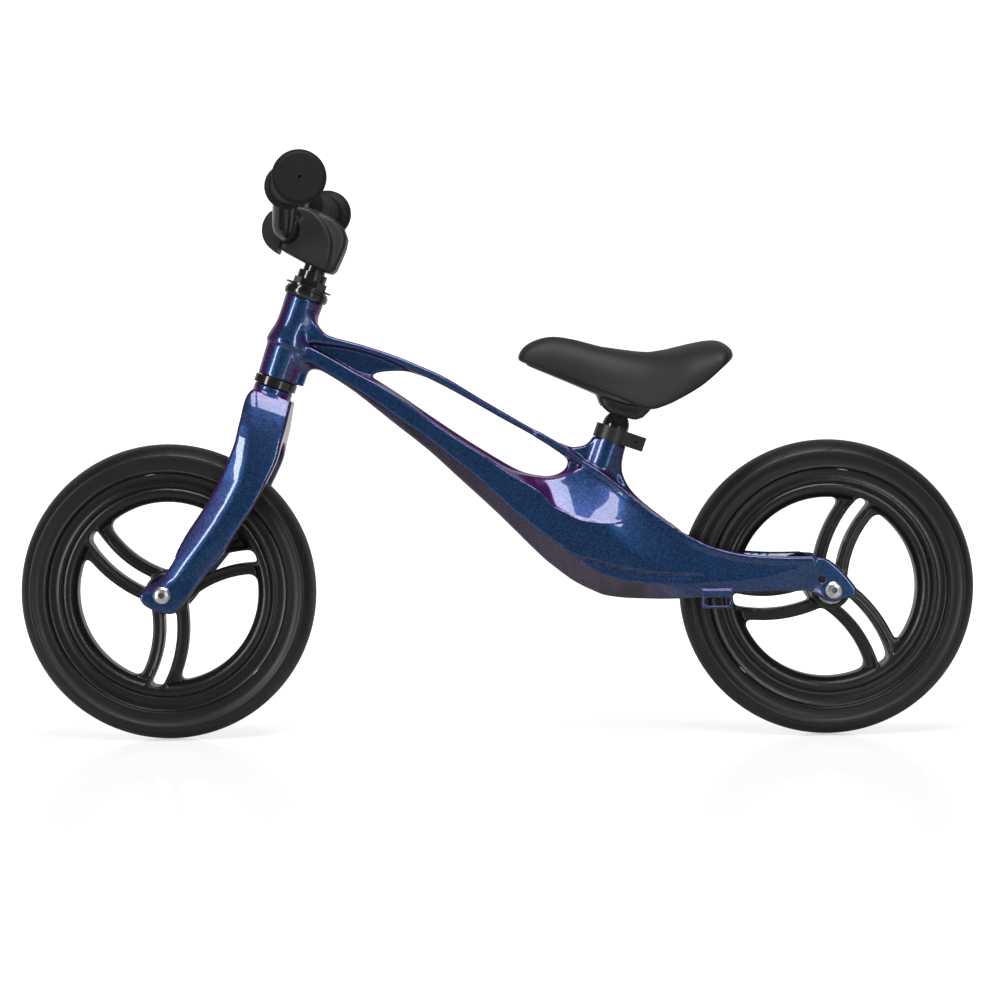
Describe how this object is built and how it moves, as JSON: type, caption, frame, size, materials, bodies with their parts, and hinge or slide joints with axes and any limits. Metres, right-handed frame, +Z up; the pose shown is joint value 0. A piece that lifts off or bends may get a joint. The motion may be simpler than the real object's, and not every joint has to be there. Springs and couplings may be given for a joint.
{
  "type": "balance bike",
  "caption": "Child's balance bike with a cast frame and fork, spoked moulded wheels, foam tyres, a moulded stem cover, bumper grips and a height-adjustable saddle.",
  "frame": {"origin": "on the ground, midway between the two wheels, in the bike's middle plane", "axes": "+X towards the back of the bike, which faces -X; +Y towards the rider's right; +Z up"},
  "size_m": [0.898, 0.4072, 0.5326],
  "materials": {
    "paint": "glossy metallic paint, blue turning to violet at the edges",
    "gloss_black": "gloss black plated",
    "satin_black": "satin black",
    "steel": "satin",
    "zinc": "bright zinc plated",
    "cap_plastic": "fine matt",
    "soft_cover": "rubbery matt",
    "pan_plastic": "fine matt",
    "wheel_plastic": "satin gloss black",
    "tyre": "matt foam",
    "grip_rubber": "matt",
    "pad": "fine-grained matt synthetic leather"
  },
  "bodies": {
    "frame": {"frame": "paint", "stay_left": "paint", "stay_right": "paint", "upper_cup": "gloss_black", "lower_cup": "gloss_black", "upper_bearing": "steel", "lower_bearing": "steel", "seat_clamp": "satin_black", "clamp_bolt": "satin_black", "clamp_nut": "steel", "rear_axle": "steel", "rear_spacer_left": "steel", "rear_spacer_right": "steel", "rear_bolt_left": "zinc", "rear_bolt_right": "zinc"},
    "fork": {"fork": "paint", "steerer_tube": "steel", "crown_race": "steel", "stop_ring": "gloss_black", "top_race": "gloss_black", "lock_washer": "gloss_black", "locknut": "gloss_black", "front_axle": "steel", "front_spacer_left": "steel", "front_spacer_right": "steel", "front_bolt_left": "zinc", "front_bolt_right": "zinc"},
    "front_wheel": {"front_wheel": "wheel_plastic", "front_tyre": "tyre", "front_bearing_left": "steel", "front_bearing_right": "steel", "front_hub_sleeve": "steel"},
    "rear_wheel": {"rear_wheel": "wheel_plastic", "rear_tyre": "tyre", "rear_bearing_left": "steel", "rear_bearing_right": "steel", "rear_hub_sleeve": "steel"},
    "handlebar": {"quill": "gloss_black", "quill_wedge": "steel", "quill_bolt": "zinc", "stem": "satin_black", "stem_cap": "cap_plastic", "stem_screw_left": "zinc", "stem_screw_right": "zinc", "stem_cover": "soft_cover", "handlebar": "gloss_black", "grip_left": "grip_rubber", "grip_right": "grip_rubber"},
    "saddle": {"seatpost": "gloss_black", "saddle_bracket": "gloss_black", "saddle_bolt": "gloss_black", "saddle_nut": "gloss_black", "saddle_pan": "pan_plastic", "pan_screw_front": "zinc", "pan_screw_rear": "zinc", "saddle_pad": "pad"}
  },
  "joints": [
    {"name": "steering", "type": "hinge", "parent": "frame", "child": "fork", "pos_m": [-0.2088, 0, 0.331], "axis": [0.3354, 0, 0.9421], "range_deg": [-45, 45]},
    {"name": "front_wheel_spin", "type": "hinge", "parent": "fork", "child": "front_wheel", "pos_m": [-0.31, 0, 0.139], "axis": [0, 1, 0], "continuous": true},
    {"name": "rear_wheel_spin", "type": "hinge", "parent": "frame", "child": "rear_wheel", "pos_m": [0.31, 0, 0.139], "axis": [0, 1, 0], "continuous": true},
    {"name": "handlebar_height", "type": "slide", "parent": "fork", "child": "handlebar", "axis": [0.3354, 0, 0.9421], "range_m": [0, 0.045]},
    {"name": "saddle_height", "type": "slide", "parent": "frame", "child": "saddle", "axis": [0.3289, 0, 0.9444], "range_m": [0, 0.05]}
  ]
}
